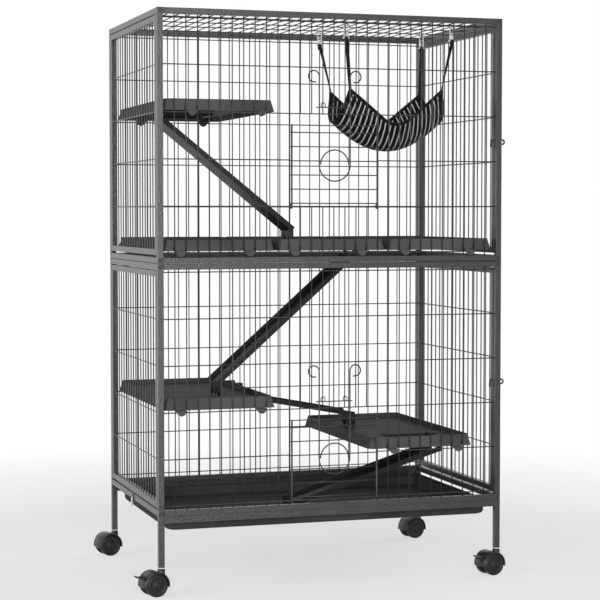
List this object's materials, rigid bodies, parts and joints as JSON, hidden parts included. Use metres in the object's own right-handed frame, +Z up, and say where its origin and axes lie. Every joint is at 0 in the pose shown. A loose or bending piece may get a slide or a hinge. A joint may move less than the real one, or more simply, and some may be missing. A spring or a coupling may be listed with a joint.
{
  "type": "small animal cage",
  "caption": "Two-storey wire cage on casters for small animals, with shelves, ramps, a hammock, drop-down and side doors and a sliding base tray.",
  "frame": {"origin": "on the floor under the middle of the four posts", "axes": "+X along the wide front to the right, +Y to the back, +Z up"},
  "size_m": [0.8747, 0.5488, 1.2651],
  "materials": {
    "frame_paint": "hammered dark grey powder coat",
    "panel_paint": "hammered dark grey powder coat",
    "wire_paint": "dark grey powder coat",
    "door_paint": "dark grey powder coat",
    "latch_wire": "dark grey powder coat",
    "fittings": "dark zinc",
    "shelf_plastic": "satin black",
    "ramp_plastic": "satin black",
    "tray_plastic": "satin charcoal",
    "cap_plastic": "matte black",
    "socket_plastic": "white",
    "clip_metal": "bright zinc",
    "caster_plastic": "satin black",
    "wheel_plastic": "satin black",
    "lever_plastic": "satin black",
    "hammock_fabric": "dark grey woven with pale stripes",
    "strap_webbing": "black webbing",
    "clip_plastic": "clear milky plastic"
  },
  "bodies": {
    "cage": {"posts_lower": "frame_paint", "posts_upper": "frame_paint", "post_plugs": "cap_plastic", "post_caps": "cap_plastic", "caster_sockets": "socket_plastic", "front_rails": "frame_paint", "back_rails": "frame_paint", "side_rails_left": "frame_paint", "side_rails_right": "frame_paint", "frame_bolts": "fittings", "front_mesh_lower": "wire_paint", "front_mesh_upper": "wire_paint", "back_mesh_lower": "wire_paint", "back_mesh_upper": "wire_paint", "top_mesh": "wire_paint", "left_panel_lower": "panel_paint", "left_panel_upper": "panel_paint", "left_panel_spacers": "panel_paint", "side_hinge_brackets": "fittings", "door_keepers": "latch_wire", "shelf_upper": "shelf_plastic", "shelf_middle_left": "shelf_plastic", "shelf_middle": "shelf_plastic", "shelf_middle_right": "shelf_plastic", "shelf_lower_left": "shelf_plastic", "shelf_lower_right": "shelf_plastic", "tray_runners": "frame_paint", "tray_clip_saddles": "fittings", "hammock_cloth": "hammock_fabric", "hammock_straps": "strap_webbing", "hammock_clips": "clip_plastic"},
    "ramp_upper": {"ramp_upper": "ramp_plastic"},
    "ramp_middle": {"ramp_middle": "ramp_plastic"},
    "ramp_bridge": {"ramp_bridge": "ramp_plastic"},
    "ramp_lower": {"ramp_lower": "ramp_plastic"},
    "front_door_lower": {"front_door_lower": "door_paint", "door_latch_lower": "latch_wire"},
    "front_door_upper": {"front_door_upper": "door_paint", "door_latch_upper": "latch_wire"},
    "side_door_lower": {"side_door_lower": "panel_paint"},
    "side_latch_lower": {"side_latch_lower": "latch_wire"},
    "side_door_upper": {"side_door_upper": "panel_paint"},
    "side_latch_upper": {"side_latch_upper": "latch_wire"},
    "base_tray": {"base_tray": "tray_plastic"},
    "tray_clip_left": {"tray_clip_left": "clip_metal"},
    "tray_clip_right": {"tray_clip_right": "clip_metal"},
    "caster_front_left": {"caster_body_front_left": "caster_plastic"},
    "wheels_front_left": {"caster_wheels_front_left": "wheel_plastic"},
    "lever_front_left": {"caster_lever_front_left": "lever_plastic"},
    "caster_front_right": {"caster_body_front_right": "caster_plastic"},
    "wheels_front_right": {"caster_wheels_front_right": "wheel_plastic"},
    "lever_front_right": {"caster_lever_front_right": "lever_plastic"},
    "caster_back_left": {"caster_body_back_left": "caster_plastic"},
    "wheels_back_left": {"caster_wheels_back_left": "wheel_plastic"},
    "caster_back_right": {"caster_body_back_right": "caster_plastic"},
    "wheels_back_right": {"caster_wheels_back_right": "wheel_plastic"}
  },
  "joints": [
    {"name": "ramp_upper_lift", "type": "hinge", "parent": "cage", "child": "ramp_upper", "pos_m": [-0.357, -0.02, 1.0612], "axis": [0, -1, 0], "range_deg": [0, 25]},
    {"name": "ramp_middle_lift", "type": "hinge", "parent": "cage", "child": "ramp_middle", "pos_m": [0.117, -0.057, 0.757], "axis": [0, 1, 0], "range_deg": [0, 25]},
    {"name": "ramp_bridge_lift", "type": "hinge", "parent": "cage", "child": "ramp_bridge", "pos_m": [-0.15, 0.087, 0.4242], "axis": [0, -1, 0], "range_deg": [0, 30]},
    {"name": "ramp_lower_lift", "type": "hinge", "parent": "cage", "child": "ramp_lower", "pos_m": [0.295, -0.141, 0.3108], "axis": [0, 1, 0], "range_deg": [0, 12]},
    {"name": "front_door_lower_drop", "type": "hinge", "parent": "cage", "child": "front_door_lower", "pos_m": [0, -0.25, 0.192], "axis": [1, 0, 0], "range_deg": [0, 105]},
    {"name": "front_door_upper_drop", "type": "hinge", "parent": "cage", "child": "front_door_upper", "pos_m": [0, -0.25, 0.841], "axis": [1, 0, 0], "range_deg": [0, 170]},
    {"name": "side_door_lower_swing", "type": "hinge", "parent": "cage", "child": "side_door_lower", "pos_m": [0.4032, 0.2395, 0.44525], "axis": [0, 0, 1], "range_deg": [0, 120]},
    {"name": "side_latch_lower_turn", "type": "hinge", "parent": "side_door_lower", "child": "side_latch_lower", "pos_m": [0.3935, -0.2315, 0.44525], "axis": [-1, 0, 0], "range_deg": [0, 90]},
    {"name": "side_door_upper_swing", "type": "hinge", "parent": "cage", "child": "side_door_upper", "pos_m": [0.4032, 0.2395, 0.99285], "axis": [0, 0, 1], "range_deg": [0, 120]},
    {"name": "side_latch_upper_turn", "type": "hinge", "parent": "side_door_upper", "child": "side_latch_upper", "pos_m": [0.3935, -0.2315, 0.99285], "axis": [-1, 0, 0], "range_deg": [0, 90]},
    {"name": "base_tray_slide", "type": "slide", "parent": "cage", "child": "base_tray", "axis": [1, 0, 0], "range_m": [0, 0.27]},
    {"name": "tray_clip_left_turn", "type": "hinge", "parent": "cage", "child": "tray_clip_left", "pos_m": [-0.4028, 0.006, 0.177], "axis": [1, 0, 0], "range_deg": [0, 90]},
    {"name": "tray_clip_right_turn", "type": "hinge", "parent": "cage", "child": "tray_clip_right", "pos_m": [0.4028, 0.006, 0.177], "axis": [1, 0, 0], "range_deg": [-90, 0]},
    {"name": "caster_front_left_swivel", "type": "hinge", "parent": "cage", "child": "caster_front_left", "pos_m": [-0.3935, -0.2475, 0.06], "axis": [0, 0, 1], "continuous": true},
    {"name": "wheels_front_left_roll", "type": "hinge", "parent": "caster_front_left", "child": "wheels_front_left", "pos_m": [-0.41104, -0.25155, 0.025], "axis": [-0.225, 0.9744, 0], "continuous": true},
    {"name": "lever_front_left_press", "type": "hinge", "parent": "caster_front_left", "child": "lever_front_left", "pos_m": [-0.4377, -0.25771, 0.0408], "axis": [0.225, -0.9744, 0], "range_deg": [0, 20]},
    {"name": "caster_front_right_swivel", "type": "hinge", "parent": "cage", "child": "caster_front_right", "pos_m": [0.3935, -0.2475, 0.06], "axis": [0, 0, 1], "continuous": true},
    {"name": "wheels_front_right_roll", "type": "hinge", "parent": "caster_front_right", "child": "wheels_front_right", "pos_m": [0.37596, -0.25155, 0.025], "axis": [-0.225, 0.9744, 0], "continuous": true},
    {"name": "lever_front_right_press", "type": "hinge", "parent": "caster_front_right", "child": "lever_front_right", "pos_m": [0.3493, -0.25771, 0.0408], "axis": [0.225, -0.9744, 0], "range_deg": [0, 20]},
    {"name": "caster_back_left_swivel", "type": "hinge", "parent": "cage", "child": "caster_back_left", "pos_m": [-0.3935, 0.2475, 0.06], "axis": [0, 0, 1], "continuous": true},
    {"name": "wheels_back_left_roll", "type": "hinge", "parent": "caster_back_left", "child": "wheels_back_left", "pos_m": [-0.41104, 0.24345, 0.025], "axis": [-0.225, 0.9744, 0], "continuous": true},
    {"name": "caster_back_right_swivel", "type": "hinge", "parent": "cage", "child": "caster_back_right", "pos_m": [0.3935, 0.2475, 0.06], "axis": [0, 0, 1], "continuous": true},
    {"name": "wheels_back_right_roll", "type": "hinge", "parent": "caster_back_right", "child": "wheels_back_right", "pos_m": [0.37596, 0.24345, 0.025], "axis": [-0.225, 0.9744, 0], "continuous": true}
  ]
}
